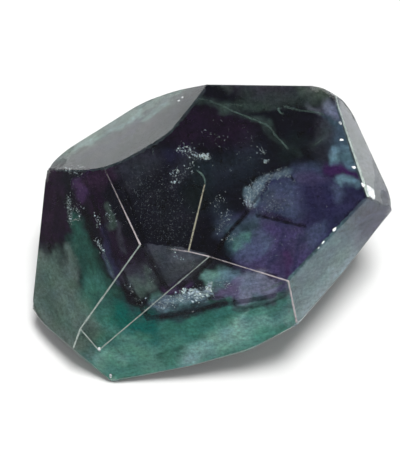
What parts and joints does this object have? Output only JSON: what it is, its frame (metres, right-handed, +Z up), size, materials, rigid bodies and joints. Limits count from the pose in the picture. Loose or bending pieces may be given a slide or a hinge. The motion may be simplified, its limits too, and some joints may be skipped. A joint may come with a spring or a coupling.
{
  "type": "fluorite freeform",
  "caption": "Palm-sized freeform of banded green and purple fluorite, ground to broad polished faces around a flat base so that it rests as a display or hand stone.",
  "frame": {"origin": "on the flat base, under the middle of the stone's box", "axes": "+Z up from the base, +X towards the pointed right end, -Y towards the low front toe"},
  "size_m": [0.083, 0.0604, 0.0465],
  "materials": {
    "fluorite": "hand-polished natural fluorite, teal-green and purple, clear at the rims and dark in the middle, with fine frosted edge lines"
  },
  "bodies": {
    "root": {"fluorite_freeform": "fluorite"}
  },
  "joints": []
}
